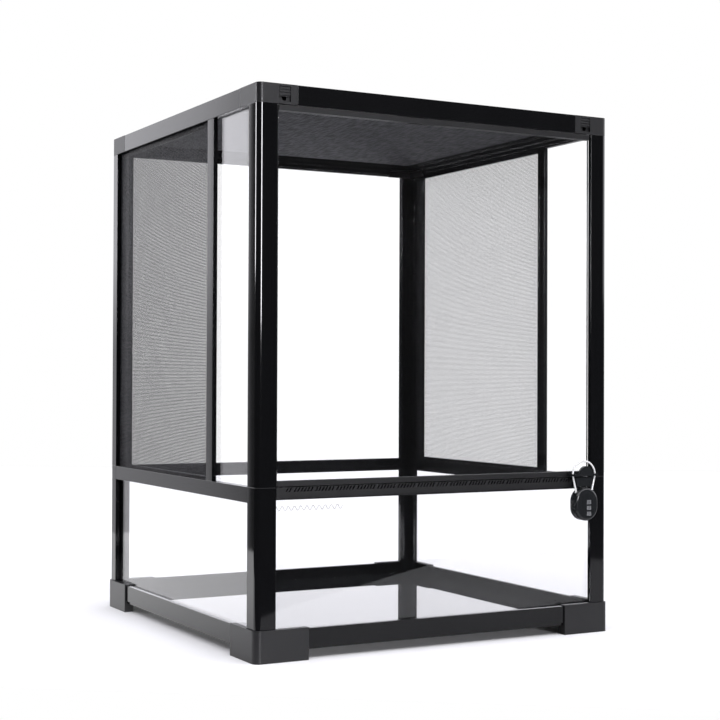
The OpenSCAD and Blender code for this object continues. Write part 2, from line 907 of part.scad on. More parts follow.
// Fixed keeper under the lug, tapered to stand between the cable's legs
module lock_keeper() {
    top_half = bow_r - (bow_z - keeper_top) * leg_slope - cable_r - keeper_side;
    low_half = bow_r - (bow_z - keeper_low) * leg_slope - cable_r - keeper_side;
    color(frame_black) in_place() translate([lock_at, 0, 0])
        rotate([90, 0, 0]) linear_extrude(keeper_out) polygon([
            [-low_half, keeper_low], [low_half, keeper_low],
            [top_half, keeper_top], [-top_half, keeper_top]
        ]);
}

// ---- Cable lock ----

module in_lock() {
    in_place() translate([lock_at, -lock_out, 0]) children();
}

// Section of half the body: a plate with rounded edges
module body_half_profile() {
    difference() {
        rect(0, -body_t / 2, body_r, body_t / 2);
        for (s = [-1, 1]) difference() {
            translate([body_r - body_edge, s * (body_t / 2 - body_edge / 2)])
                translate([0, -body_edge / 2])
                    square([body_edge + eps, body_edge]);
            translate([body_r - body_edge, s * (body_t / 2 - body_edge)])
                circle(body_edge);
        }
    }
}

module body_form() {
    for (s = [-1, 1]) translate([0, 0, body_z + s * end_step]) rotate([90, 0, 0])
        rotate_extrude($fn = 96) body_half_profile();
    for (s = [0, 1]) mirror([s, 0, 0]) translate([0, 0, body_z - end_step])
        linear_extrude(2 * end_step) body_half_profile();
}

module dial_place(row) {
    translate([dial_at, -dial_fwd, dial_z + row * dial_pitch]) children();
}

module lock_body() {
    color(frame_black) in_lock() difference() {
        body_form();
        for (row = [-1 : 1]) dial_place(row)
            translate([0, 0, -dial_h / 2 - dial_gap])
                cylinder(r = dial_r + dial_gap, h = dial_h + 2 * dial_gap);
        dial_place(0) translate([0, 0, -axle_len / 2])
            cylinder(r = axle_r + pin_fit, h = axle_len);
        for (x = [-leg_x, leg_x]) translate([x, 0, leg_low - leg_root])
            cylinder(r = cable_r + pin_fit, h = leg_root + body_r);
        // finger grip down the left edge
        for (i = [0 : grip_cuts - 1]) {
            dz = (i - (grip_cuts - 1) / 2) * grip_pitch;
            over = max(0, abs(dz) - end_step);
            translate([-sqrt(pow(body_r, 2) - pow(over, 2)), body_t, body_z + dz])
                rotate([90, 0, 0]) cylinder(r = grip_r, h = 2 * body_t);
        }
        // seam between the grip and the face
        translate([seam_x - seam_r, -body_t / 2 + seam_deep, body_z])
            rotate([90, 0, 0]) linear_extrude(body_t) intersection() {
                difference() {
                    circle(seam_r, $fn = 120);
                    circle(seam_r - seam_w, $fn = 120);
                }
                rect(0, -seam_half, seam_r + seam_w, seam_half);
            }
    }
}

module lock_cable() {
    color(steel) in_lock() {
        translate([0, 0, bow_z]) rotate([90, 0, 0]) rotate_extrude(angle = 180)
            translate([bow_r, 0]) circle(cable_r);
        for (s = [-1, 1]) {
            translate([s * bow_r, 0, bow_z]) sphere(ferrule_r);
            translate([s * leg_x, 0, leg_low]) rotate([0, s * leg_tilt, 0])
                cylinder(r = cable_r, h = leg_len);
            translate([s * leg_x, 0, leg_low]) sphere(ferrule_r);
            translate([s * leg_x, 0, leg_low - leg_root])
                cylinder(r = cable_r, h = leg_root);
        }
    }
}

module dial_axle() {
    color(steel) in_lock() dial_place(0) translate([0, 0, -axle_len / 2])
        cylinder(r = axle_r, h = axle_len);
}

module dial(row) {
    color(dial_grey) in_lock() dial_place(row) difference() {
        translate([0, 0, -dial_h / 2]) cylinder(r = dial_r, h = dial_h);
        translate([0, 0, -dial_h]) cylinder(r = axle_r + pin_fit, h = 2 * dial_h);
        for (i = [0 : dial_teeth - 1]) rotate([0, 0, i * 360 / dial_teeth])
            translate([dial_r + notch_out, 0, -dial_h])
                cylinder(r = notch_r, h = 2 * dial_h);
    }
}

module dial_top() { dial(1); }
module dial_middle() { dial(0); }
module dial_bottom() { dial(-1); }

front_base_rail();
rear_base_rail();
left_base_rail();
right_base_rail();
foot_front_left();
foot_front_right();
foot_rear_left();
foot_rear_right();
bottom_pane();
lower_post_front_left();
lower_post_front_right();
lower_post_rear_left();
lower_post_rear_right();
upper_post_front_left();
upper_post_front_right();
upper_post_rear_left();
upper_post_rear_right();
left_mid_rail();
right_mid_rail();
rear_mid_rail();
vent_bar();
front_lower_pane();
rear_lower_pane();
left_lower_pane();
right_lower_pane();
rear_upper_pane();
left_upper_pane();
right_upper_pane();
left_mullion();
right_mullion();
left_screen_frame();
right_screen_frame();
left_screen();
right_screen();
front_top_rail();
rear_top_rail();
left_top_rail();
right_top_rail();
top_joint_front_left();
top_joint_front_right();
top_joint_rear_left();
top_joint_rear_right();
latch_front_left();
latch_front_right();
latch_rear_left();
latch_rear_right();
lid_frame();
lid_screen();
lid_spline();
door_pane();
door_top_strip();
door_bottom_strip();
door_lug();
lock_keeper();
lock_body();
lock_cable();
dial_axle();
dial_top();
dial_middle();
dial_bottom();
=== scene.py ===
import json
import math
import bmesh
import bpy
from mathutils import Matrix, Vector


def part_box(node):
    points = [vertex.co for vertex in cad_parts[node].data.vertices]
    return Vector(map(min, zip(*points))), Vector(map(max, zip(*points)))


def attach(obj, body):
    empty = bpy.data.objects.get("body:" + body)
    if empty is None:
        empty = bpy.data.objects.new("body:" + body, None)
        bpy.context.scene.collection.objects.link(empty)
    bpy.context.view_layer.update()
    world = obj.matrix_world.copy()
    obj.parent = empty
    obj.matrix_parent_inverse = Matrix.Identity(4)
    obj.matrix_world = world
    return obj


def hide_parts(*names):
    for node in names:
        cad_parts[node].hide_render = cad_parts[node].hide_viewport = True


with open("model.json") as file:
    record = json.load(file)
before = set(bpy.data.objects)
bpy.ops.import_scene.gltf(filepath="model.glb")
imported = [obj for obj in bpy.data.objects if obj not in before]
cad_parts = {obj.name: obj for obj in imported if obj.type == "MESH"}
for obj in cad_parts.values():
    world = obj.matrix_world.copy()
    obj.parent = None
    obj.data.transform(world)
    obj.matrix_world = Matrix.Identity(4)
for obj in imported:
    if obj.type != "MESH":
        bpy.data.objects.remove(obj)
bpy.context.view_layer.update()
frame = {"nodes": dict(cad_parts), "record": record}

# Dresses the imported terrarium: bevelled frame pieces, glass, wire screens and the
# cable lock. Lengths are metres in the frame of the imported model.

mm = 0.001
nodes = frame["nodes"]
bodyOf = {
    node: body
    for body, names in frame["record"]["behaviour"]["bodies"].items()
    for node in names
}
scene = bpy.context.scene
scene.view_settings.view_transform = "Standard"


# Shader building

class Signal:  # a socket's value; operators on it add Math nodes
    def __init__(self, tree, socket):
        self.tree = tree
        self.socket = socket

    def math(self, operation, first, second):
        made = self.tree.nodes.new("ShaderNodeMath")
        made.operation = operation
        feed(self.tree, made.inputs[0], first)
        feed(self.tree, made.inputs[1], second)
        return Signal(self.tree, made.outputs[0])

    def __add__(self, other):
        return self.math("ADD", self, other)

    def __radd__(self, other):
        return self.math("ADD", other, self)

    def __sub__(self, other):
        return self.math("SUBTRACT", self, other)

    def __rsub__(self, other):
        return self.math("SUBTRACT", other, self)

    def __mul__(self, other):
        return self.math("MULTIPLY", self, other)

    def __rmul__(self, other):
        return self.math("MULTIPLY", other, self)

    def __truediv__(self, other):
        return self.math("DIVIDE", self, other)

    def __rtruediv__(self, other):
        return self.math("DIVIDE", other, self)

    def __pow__(self, other):
        return self.math("POWER", self, other)

    def __rpow__(self, other):
        return self.math("POWER", other, self)

    def floor(self, low):
        return self.math("MAXIMUM", self, low)

    def ceiling(self, high):
        return self.math("MINIMUM", self, high)


def feed(tree, socket, value):
    if isinstance(value, Signal):
        tree.links.new(value.socket, socket)
    elif socket.type == "RGBA" and len(value) == 3:
        socket.default_value = (*value, 1.0)
    else:
        socket.default_value = value


class Shader:  # one emptied node tree; add makes any node in it
    def __init__(self, tree):
        self.tree = tree
        tree.nodes.clear()

    def add(self, kind, settings=None, sockets=None, out=0):
        made = self.tree.nodes.new("ShaderNode" + kind)
        for name, value in (settings or {}).items():
            setattr(made, name, value)
        for name, value in (sockets or {}).items():
            feed(self.tree, made.inputs[name], value)
        return Signal(self.tree, made.outputs[out] if len(made.outputs) else None)

    def step(self, value, low, high):  # smooth step from 0 at low to 1 at high
        return self.add("MapRange", {"interpolation_type": "SMOOTHSTEP"},
                        {"Value": value, "From Min": low, "From Max": high})

    def band(self, value, low, high, soft):
        return self.step(value, low - soft, low + soft) * (
            1 - self.step(value, high - soft, high + soft))

    def coords(self, scale=(1, 1, 1), place=(0, 0, 0)):
        return self.add("Mapping", {}, {"Vector": self.add("TexCoord", out="Object"),
                                        "Scale": scale, "Location": place})

    def noise(self, where, size, detail=3.0):
        return self.add("TexNoise", {}, {"Vector": where, "Scale": 1 / size,
                                         "Detail": detail})

    def blend(self, share, low, high):  # 6, 7 and 2 are the node's colour sockets
        return self.add("Mix", {"data_type": "RGBA"}, {0: share, 6: low, 7: high}, 2)

    def dot(self, first, second):
        return self.add("VectorMath", {"operation": "DOT_PRODUCT"},
                        {0: first, 1: second}, "Value")

    def bump(self, height, depth):
        return self.add("Bump", {}, {"Height": height, "Distance": depth})

    def principled(self, sockets):
        return self.add("BsdfPrincipled", {}, sockets)

    def mix(self, share, first, second):
        return self.add("MixShader", {}, {0: share, 1: first, 2: second})

    def finish(self, surface, kind="OutputMaterial"):
        self.add(kind, {}, {"Surface": surface})


def newMaterial(name):
    material = bpy.data.materials.new(name)
    material.use_nodes = True
    return material, Shader(material.node_tree)


# Materials

blackLook = {  # grain size and depth in mm
    "moulded": {
        "low": (0.0075, 0.0075, 0.0082), "high": (0.012, 0.012, 0.013), "ior": 1.45,
        "rough": 0.36, "spread": 0.08, "grain": 0.5, "depth": 0.012,
    },
    "strip": {
        "low": (0.0075, 0.0075, 0.008), "high": (0.011, 0.011, 0.0118), "ior": 1.5,
        "rough": 0.32, "spread": 0.08, "grain": 0.8, "depth": 0.006,
    },
    "gloss": {
        "low": (0.0022, 0.0023, 0.0027), "high": (0.0033, 0.0034, 0.004), "ior": 1.5,
        "rough": 0.06, "spread": 0.04, "grain": 6.0, "depth": 0.002,
        "lean": 0.006,  # slope of the faces that look sideways
    },
    "satin": {
        "low": (0.0027, 0.0028, 0.0032), "high": (0.0042, 0.0043, 0.0049), "ior": 1.45,
        "rough": 0.14, "spread": 0.05, "grain": 1.2, "depth": 0.004,
    },
    "lock": {
        "low": (0.008, 0.009, 0.010), "high": (0.012, 0.013, 0.014), "ior": 1.5,
        "rough": 0.17, "spread": 0.08, "grain": 0.8, "depth": 0.006,
    },
    "rubber": {
        "low": (0.016, 0.016, 0.017), "high": (0.022, 0.022, 0.023), "ior": 1.5,
        "rough": 0.62, "spread": 0.12, "grain": 0.3, "depth": 0.02,
    },
}
cloudLook = {"size": 40, "share": 0.4}  # wide unevenness, against the fine grain
streakStretch = {"x": (0.02, 1, 1), "y": (1, 0.02, 1), "z": (1, 1, 0.02)}


def blackPlastic(name, along=None):
    look = blackLook[name]
    material, shade = newMaterial(name + ("_" + along if along else ""))
    plain = shade.coords()
    cloud = shade.noise(plain, cloudLook["size"] * mm)
    fine = shade.noise(shade.coords(streakStretch[along]) if along else plain,
                       look["grain"] * mm)
    uneven = fine * (1 - cloudLook["share"]) + cloud * cloudLook["share"]
    lean = shade.dot(plain, (0, look.get("lean", 0.0), 0))
    shade.finish(shade.principled({
        "Base Color": shade.blend(cloud, look["low"], look["high"]),
        "Roughness": look["rough"] - look["spread"] / 2 + look["spread"] * uneven,
        "IOR": look["ior"],
        "Normal": shade.bump(fine * (look["depth"] * mm) + lean, 1.0),
    }))
    return material


glassLook = {
    "tint": (0.991, 0.992, 0.997),
    "shadow": (0.925, 0.93, 0.94),  # what it lets through for lamps
    "ior": {"clear": 1.4, "side": 1.5},
    "smear": 0.012,  # roughness of the smeared places
    "smearSize": 60, "smearStretch": (1, 1, 0.4), "smearFrom": 0.5, "smearTo": 0.75,
}


def clearGlass(name):
    material, shade = newMaterial(name + "_glass")
    cloud = shade.noise(shade.coords(glassLook["smearStretch"]),
                        glassLook["smearSize"] * mm, 4)
    smear = shade.step(cloud, glassLook["smearFrom"], glassLook["smearTo"])
    glass = shade.principled({
        "Base Color": glassLook["tint"],
        "Roughness": glassLook["smear"] * smear,
        "IOR": glassLook["ior"][name],
        "Transmission Weight": 1.0,
    })
    clear = shade.add("BsdfTransparent", {}, {"Color": glassLook["shadow"]})
    shade.finish(shade.mix(shade.add("LightPath", out="Is Shadow Ray"), glass, clear))
    return material


baseLook = {
    "colour": (0.010, 0.011, 0.012), "ior": 2.0, "rough": 0.005,
    "dust": (0.03, 0.03, 0.03), "dustRough": 0.01,
    "dustSize": 90, "dustFrom": 0.45, "dustTo": 0.8,
}


def baseGlass():  # dark sheet, a mirror at low angles
    material, shade = newMaterial("base_glass")
    cloud = shade.noise(shade.coords(), baseLook["dustSize"] * mm, 5)
    dust = shade.step(cloud, baseLook["dustFrom"], baseLook["dustTo"])
    shade.finish(shade.principled({
        "Base Color": shade.blend(dust, baseLook["colour"], baseLook["dust"]),
        "Roughness": baseLook["rough"] + baseLook["dustRough"] * dust,
        "IOR": baseLook["ior"],
        "Coat Weight": 1.0,
        "Coat IOR": baseLook["ior"],
        "Coat Roughness": baseLook["rough"],
    }))
    return material


# One wire mesh in three tones for how light falls on each screen: painted shade darkens
# the left screen and the lid, painted light brightens the right screen.
wirePaintedTones = {
    "left": {"low": (0.016, 0.016, 0.018), "high": (0.076, 0.076, 0.082)},
    "right": {"low": (0.25, 0.25, 0.255), "high": (0.50, 0.50, 0.507)},
    "lid": {"low": (0.012, 0.012, 0.014), "high": (0.100, 0.100, 0.108),
            "stretch": (1, 0.12, 1)},  # its uneven places are drawn out along y
}
weaveLook = {  # sizes in mm
    "size": 2.4, "from": 0.36, "to": 0.64,  # small uneven places
    "patch": 25, "patchShare": 0.4,         # and wide ones
    "metal": 0.35, "rough": 0.35, "roughSpread": 0.2, "pit": 0.4, "pitDepth": 0.02,
}


def wireMetal(name):
    look = wirePaintedTones[name]
    material, shade = newMaterial("wire_painted_light_and_shade_" + name)
    patch = shade.noise(shade.coords(), weaveLook["patch"] * mm, 4)
    small = shade.noise(shade.coords(look.get("stretch", (1, 1, 1))),
                        weaveLook["size"] * mm, 1)
    weave = shade.step(small, weaveLook["from"], weaveLook["to"])
    pits = shade.noise(shade.coords(), weaveLook["pit"] * mm, 2)
    share = weaveLook["patchShare"]
    shade.finish(shade.principled({
        "Base Color": shade.blend(patch * share + weave * (1 - share),
                                  look["low"], look["high"]),
        "Metallic": weaveLook["metal"],
        "Roughness": weaveLook["rough"] + weaveLook["roughSpread"] * pits,
        "Normal": shade.bump(pits, weaveLook["pitDepth"] * mm),
    }))
    return material


cableLook = {
    "steel": (0.93, 0.93, 0.925), "gap": (0.52, 0.52, 0.51),
    "lay": 1.5,  # from one strand to the next along the loop, in mm
    "reach": 12.0,  # of the loop about its middle, in mm
    "rough": 0.38, "polish": 0.1, "metal": 0.05, "depth": 0.12, "sleeveRough": 0.06,
}


def coatedCable():  # twisted steel strands in a clear sleeve
    material, shade = newMaterial("coated_cable")
    low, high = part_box("lock_cable")
    where = shade.coords(place=tuple(-(low + high) / 2))
    aside = shade.dot(where, (1, 0, 0))
    above = shade.dot(where, (0, 0, 1))
    turned = shade.add("Math", {"operation": "ARCTAN2"}, {0: above, 1: aside})
    reach = (aside * aside + above * above) ** 0.5
    phase = (turned * (cableLook["reach"] * mm) + reach) / (cableLook["lay"] * mm)
    wave = shade.add("Math", {"operation": "PINGPONG"}, {0: phase, 1: 0.5}) * 2
    shade.finish(shade.principled({
        "Base Color": shade.blend(wave, cableLook["gap"], cableLook["steel"]),
        "Metallic": cableLook["metal"],
        "Roughness": cableLook["rough"] - cableLook["polish"] * wave,
        "Coat Weight": 1.0,
        "Coat Roughness": cableLook["sleeveRough"],
        "Normal": shade.bump(wave, cableLook["depth"] * mm),
    }))
    return material


steelLook = {
    "dark": (0.42, 0.43, 0.45), "light": (0.62, 0.63, 0.65),
    "ring": 1.5, "ringStretch": (1, 1, 30), "rough": 0.25, "roughSpread": 0.2,
}


def bareSteel():
    material, shade = newMaterial("bare_steel")
    turned = shade.noise(shade.coords(steelLook["ringStretch"]), steelLook["ring"] * mm)
    shade.finish(shade.principled({
        "Base Color": shade.blend(turned, steelLook["dark"], steelLook["light"]),
        "Metallic": 1.0,
        "Roughness": steelLook["rough"] + steelLook["roughSpread"] * turned,
    }))
    return material


dialLook = {
    "dark": (0.125, 0.13, 0.135), "light": (0.175, 0.18, 0.185),
    "speck": 0.6, "depth": 0.01, "rough": 0.35, "roughSpread": 0.15,
}


def dialPlastic():
    material, shade = newMaterial("dial_plastic")
    speck = shade.noise(shade.coords(), dialLook["speck"] * mm)
    shade.finish(shade.principled({
        "Base Color": shade.blend(speck, dialLook["dark"], dialLook["light"]),
        "Roughness": dialLook["rough"] + dialLook["roughSpread"] * speck,
        "Normal": shade.bump(speck, dialLook["depth"] * mm),
    }))
    return material


inkLook = {
    "digit": {"full": (0.008, 0.008, 0.009), "worn": (0.02, 0.02, 0.022)},
    "level": {"full": (0.36, 0.36, 0.36), "worn": (0.48, 0.48, 0.48)},
    "wear": 0.5, "rough": 0.45, "roughSpread": 0.2,
}


def ink(name):
    look = inkLook[name]
    material, shade = newMaterial(name + "_ink")
    worn = shade.noise(shade.coords(), inkLook["wear"] * mm)
    shade.finish(shade.principled({
        "Base Color": shade.blend(worn, look["full"], look["worn"]),
        "Roughness": inkLook["rough"] + inkLook["roughSpread"] * worn,
    }))
    return material


finishes = {
    "moulded": blackPlastic("moulded"),
    "gloss": blackPlastic("gloss", "z"),
    "satinX": blackPlastic("satin", "x"),
    "satinY": blackPlastic("satin", "y"),
    "satinZ": blackPlastic("satin", "z"),
    "strip": blackPlastic("strip", "x"),
    "lock": blackPlastic("lock"),
    "rubber": blackPlastic("rubber"),
    "glass": clearGlass("clear"),
    "sideGlass": clearGlass("side"),
    "base": baseGlass(),
    # the wire finishes are lit and shaded copies of one mesh: painted shade on the left
    # and the lid, painted light on the right
    "leftWirePaintedShade": wireMetal("left"),
    "rightWirePaintedLight": wireMetal("right"),
    "lidWirePaintedShade": wireMetal("lid"),
    "cable": coatedCable(),
    "steel": bareSteel(),
    "dial": dialPlastic(),
    "digit": ink("digit"),
    "level": ink("level"),
}
print("materials:", len(finishes))


# Making pieces

def addPiece(name, bm, material, body, replaced=(), evenShade=True):
    mesh = bpy.data.meshes.new(name)
    bm.to_mesh(mesh)
    bm.free()
    piece = bpy.data.objects.new(name, mesh)
    scene.collection.objects.link(piece)
    mesh.materials.append(finishes[material])
    if evenShade:
        weighted = piece.modifiers.new("even_shade", "WEIGHTED_NORMAL")
        weighted.keep_sharp = True
    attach(piece, body)
    if replaced:
        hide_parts(*replaced)


merge = {"gap": 0.004, "flat": 0.6}  # points joined, in mm; faces joined, in degrees
edgeTurn = {"bevel": 28, "sharp": 56}  # in degrees, from which an edge is treated so


def mergedCopy(node):  # a node's loose triangles, joined to flat faces
    bm = bmesh.new()
    bm.from_mesh(nodes[node].data)
    bmesh.ops.remove_doubles(bm, verts=bm.verts, dist=merge["gap"] * mm)
    bmesh.ops.dissolve_limit(bm, angle_limit=math.radians(merge["flat"]),
                             verts=bm.verts, edges=bm.edges,
                             use_dissolve_boundaries=False)
    return bm


def sharpEdges(bm, angle):
    return [e for e in bm.edges if len(e.link_faces) == 2
            and e.calc_face_angle(0) > math.radians(angle)]


def shadeSmooth(bm, angle):
    for face in bm.faces:
        face.smooth = True
    for edge in sharpEdges(bm, angle):
        edge.smooth = False


def bevelSharp(bm, width, segments=2):
    bmesh.ops.bevel(bm, geom=sharpEdges(bm, edgeTurn["bevel"]), offset=width,
                    offset_type="OFFSET", affect="EDGES", segments=segments,
                    profile=0.5, material=-1, clamp_overlap=True)
    shadeSmooth(bm, edgeTurn["sharp"])


def dress(node, material, width, segments=2):  # width of its edges in mm
    bm = mergedCopy(node)
    bevelSharp(bm, width * mm, segments)
    addPiece(node + "_skin", bm, material, bodyOf[node], [node])


# Frame, rails and posts

ways = {"front": "X", "rear": "X", "left": "Y", "right": "Y"}
ends = [f + "_" + s for f in ("front", "rear") for s in ("left", "right")]

for side, way in ways.items():
    dress(side + "_base_rail", "satin" + way, width=0.4)
    dress(side + "_top_rail", "satin" + way, width=0.5, segments=3)
    if side != "front":
        dress(side + "_mid_rail", "satin" + way, width=0.4)
for side in ("left", "right"):
    dress(side + "_mullion", "satinZ", width=0.5)
    dress(side + "_screen_frame", "satinZ", width=0.3)
for end in ends:
    dress("foot_" + end, "moulded", width=0.6, segments=3)
    dress("lower_post_" + end, "gloss", width=0.4)
    dress("upper_post_" + end, "gloss", width=0.4)
    dress("top_joint_" + end, "moulded", width=0.3)
    dress("latch_" + end, "moulded", width=0.2)
dress("vent_bar", "strip", width=0.2)
dress("lid_frame", "satinX", width=0.4)
dress("lid_spline", "rubber", width=0.2)
dress("door_top_strip", "strip", width=0.3)
dress("door_bottom_strip", "strip", width=0.3)
dress("door_lug", "lock", width=0.3)
dress("lock_keeper", "lock", width=0.5)


# Panes, level line and vent

for side, way in ways.items():
    glass = "sideGlass" if way == "Y" else "glass"
    dress(side + "_lower_pane", glass, width=0.5)
    if side != "front":
        dress(side + "_upper_pane", glass, width=0.5)
dress("door_pane", "glass", width=0.15)
dress("bottom_pane", "base", width=0.5)

levelLine = {  # in mm
    "start": 25.1, "end": 104.5,  # from the frame's left
    "height": 159.8,              # above the floor
    "wave": 7.3, "swing": 2.3, "width": 0.85, "proud": 0.03, "steps": 16,
}


def wavyLine():
    low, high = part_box("front_lower_pane")
    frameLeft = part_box("upper_post_front_left")[0].x
    count = round((levelLine["end"] - levelLine["start"]) / levelLine["wave"]
                  * levelLine["steps"])
    bm = bmesh.new()
    half = levelLine["width"] / 2
    rail = []
    for i in range(count + 1):
        turn = 2 * math.pi * i / levelLine["steps"]
        x = levelLine["start"] + levelLine["wave"] * i / levelLine["steps"]
        z = levelLine["height"] + levelLine["swing"] * math.cos(turn)
        slope = -levelLine["swing"] * math.sin(turn) * 2 * math.pi / levelLine["wave"]
        side = Vector((-slope, 0, 1)).normalized() * half
        middle = Vector((x, 0, z))
        rail.append([bm.verts.new((middle + side * s) * mm) for s in (-1, 1)])
    for near, far in zip(rail, rail[1:]):
        bm.faces.new((near[0], far[0], far[1], near[1]))
    grown = bmesh.ops.extrude_face_region(bm, geom=bm.faces[:])
    front = [v for v in grown["geom"] if isinstance(v, bmesh.types.BMVert)]
    bmesh.ops.translate(bm, verts=front, vec=(0, -levelLine["proud"] * mm, 0))
    bmesh.ops.recalc_face_normals(bm, faces=bm.faces)
    bmesh.ops.translate(bm, verts=bm.verts, vec=(frameLeft, low.y, 0))
    addPiece("level_line", bm, "level", "cabinet", evenShade=False)


wavyLine()

ventLook = {  # in mm
    "back": 1.0, "inset": 0.6,  # wall and its place from the bar's rear
    "rise": 2.6, "foot": 3.2,   # above the bar's top and its bottom
    "side": 1.0, "round": 0.25,
}


def ventBack():  # closes the vent's channel and stands up behind the door
    low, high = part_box("vent_bar")
    bm = bmesh.new()
    made = bmesh.ops.create_cube(bm, size=1)["verts"]
    wide = high.x - low.x - 2 * ventLook["side"] * mm
    tall = high.z - low.z - ventLook["foot"] * mm + ventLook["rise"] * mm
    bmesh.ops.scale(bm, vec=(wide, ventLook["back"] * mm, tall), verts=made)
    bmesh.ops.translate(bm, verts=made, vec=(
        (low.x + high.x) / 2,
        high.y - (ventLook["inset"] + ventLook["back"] / 2) * mm,
        high.z + ventLook["rise"] * mm - tall / 2))
    bevelSharp(bm, ventLook["round"] * mm)
    addPiece("vent_back", bm, "satinX", "cabinet")


ventBack()
print("panes, vent and level line")


# Screens: two layers of wires, crossed

screenLook = {  # in mm
    "pitch": 1.7, "sides": 6,
    "wire": {"left_screen": 0.66, "right_screen": 0.54, "lid_screen": 0.54},
}


def addWires(bm, low, high, wire, along, across, through, layer):
    pitch = screenLook["pitch"]
    length = high[along] - low[along]
    count = int((high[across] - low[across]) / (pitch * mm))
    thick = (high[through] - low[through]) / 2
    margin = (high[across] - low[across] - (count - 1) * pitch * mm) / 2
    made = bmesh.ops.create_cone(
        bm, cap_ends=True, segments=screenLook["sides"], depth=length,
        radius1=0.5, radius2=0.5)["verts"]
    axes = [Vector(), Vector(), Vector()]
    axes[0][across] = wire * mm
    axes[1][through] = thick
    axes[2][along] = 1
    turn = Matrix(axes).transposed().to_4x4()
    if turn.determinant() < 0:
        turn = turn @ Matrix.Scale(-1, 4, (1, 0, 0))
    start = (low + high) / 2
    start[across] = low[across] + margin
    start[through] = low[through] + thick * (layer + 0.5)
    bmesh.ops.transform(bm, matrix=Matrix.Translation(start) @ turn, verts=made)
    faces = {f for v in made for f in v.link_faces}
    shift = Vector()
    for i in range(1, count):
        shift[across] = i * pitch * mm
        copy = bmesh.ops.duplicate(bm, geom=made + list(faces))["geom"]
        bmesh.ops.translate(bm, vec=shift,
                            verts=[v for v in copy if isinstance(v, bmesh.types.BMVert)])


def wireScreen(node, material, through, pair):  # pair: along and across, as axes
    low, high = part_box(node)
    bm = bmesh.new()
    for layer, (along, across) in enumerate((pair, pair[::-1])):
        addWires(bm, low, high, screenLook["wire"][node], along, across, through, layer)
    addPiece(node + "_wires", bm, material, bodyOf[node], [node],
             evenShade=False)


# the same wire mesh on every screen, with painted shade on the left screen and the lid
# and painted light on the right screen
wireScreen("left_screen", "leftWirePaintedShade", 0, (2, 1))
wireScreen("right_screen", "rightWirePaintedLight", 0, (2, 1))
wireScreen("lid_screen", "lidWirePaintedShade", 2, (0, 1))
print("screens")


# Lock

def roundNode(node, material, angle=30):  # a turned or moulded form, kept as it is
    bm = mergedCopy(node)
    shadeSmooth(bm, angle)
    addPiece(node + "_skin", bm, material, bodyOf[node], [node])


digitLook = {
    "height": 3.2, "squeeze": 0.95, "proud": 0.04, "bold": 0.16,
    "cut": 0.3, "cutsEachWay": 4,  # width and number of the strips that let it bend
    "fontPerHeight": 1.4, "onDial": 10,
}


def digitMesh(text):
    curve = bpy.data.curves.new("digit", "FONT")
    curve.body = text
    curve.align_x = "CENTER"
    curve.align_y = "CENTER"
    curve.resolution_u = 2
    curve.size = digitLook["height"] * mm * digitLook["fontPerHeight"]
    curve.offset = digitLook["bold"] * mm
    holder = bpy.data.objects.new("digit", curve)
    scene.collection.objects.link(holder)
    bpy.context.view_layer.update()
    mesh = bpy.data.meshes.new_from_object(
        holder.evaluated_get(bpy.context.evaluated_depsgraph_get()))
    bpy.data.objects.remove(holder)
    bpy.data.curves.remove(curve)
    return mesh


def dialDigits(node):
    low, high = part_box(node)
    centre = (low + high) / 2
    radius = (high.x - low.x) / 2
    bm = bmesh.new()
    cuts = digitLook["cutsEachWay"]
    for number in range(digitLook["onDial"]):
        mesh = digitMesh(str(number))
        before = set(bm.verts)
        bm.from_mesh(mesh)
        bpy.data.meshes.remove(mesh)
        for cut in range(-cuts, cuts + 1):
            flat = [v for v in bm.verts if v not in before]
            geom = flat + list({e for v in flat for e in v.link_edges}) + list(
                {f for v in flat for f in v.link_faces})
            bmesh.ops.bisect_plane(bm, geom=geom, dist=1e-6 * mm, plane_no=(1, 0, 0),
                                   plane_co=(cut * digitLook["cut"] * mm, 0, 0))
        made = [v for v in bm.verts if v not in before]
        for v in made:  # wrapped round the dial, the first digit facing the front
            angle = (v.co.x * digitLook["squeeze"] / radius
                     + 2 * math.pi * number / digitLook["onDial"] - math.pi / 2)
            out = radius + digitLook["proud"] * mm
            v.co = Vector((centre.x + out * math.cos(angle),
                           centre.y + out * math.sin(angle), centre.z + v.co.y))
    addPiece(node + "_digits", bm, "digit", bodyOf[node], evenShade=False)


for node in ("dial_top", "dial_middle", "dial_bottom"):
    roundNode(node, "dial")
    dialDigits(node)
roundNode("lock_body", "lock", angle=40)
roundNode("lock_cable", "cable")
roundNode("dial_axle", "steel")
print("lock")


# Floor, light and camera

cameraLook = {
    "place": (-0.879271, -1.637916, 0.299210),
    "yaw": 28.620, "pitch": 0.623, "roll": 0.220, "lens": 75.064, "sensor": 36,
}


def addCamera():
    data = bpy.data.cameras.new("camera")
    data.lens = cameraLook["lens"]
    data.sensor_width = cameraLook["sensor"]
    camera = bpy.data.objects.new("camera", data)
    scene.collection.objects.link(camera)
    turn = (Matrix.Rotation(-math.radians(cameraLook["yaw"]), 4, "Z")
            @ Matrix.Rotation(math.radians(90 + cameraLook["pitch"]), 4, "X")
            @ Matrix.Rotation(math.radians(cameraLook["roll"]), 4, "Z"))
    camera.matrix_world = Matrix.Translation(cameraLook["place"]) @ turn
    scene.camera = camera


floorLook = {
    "corners": [(-0.833, 0.056), (0.518, -0.946), (2.575, 1.825), (0.092, 3.378)],
    "under": 0.05,  # below the feet, in mm
    "white": (0.94, 0.94, 0.94), "speck": 0.3, "speckTone": 0.985,
    # painted reflection: in reflections only, the floor is dimmed to this share and glows
    # towards the back left
    "mirrored": 0.51,  # share of it that shows in reflections at the front
    "glow": 0.95, "glowWay": 118, "glowFrom": -0.3, "glowTo": 0.5,  # and at the back left
}


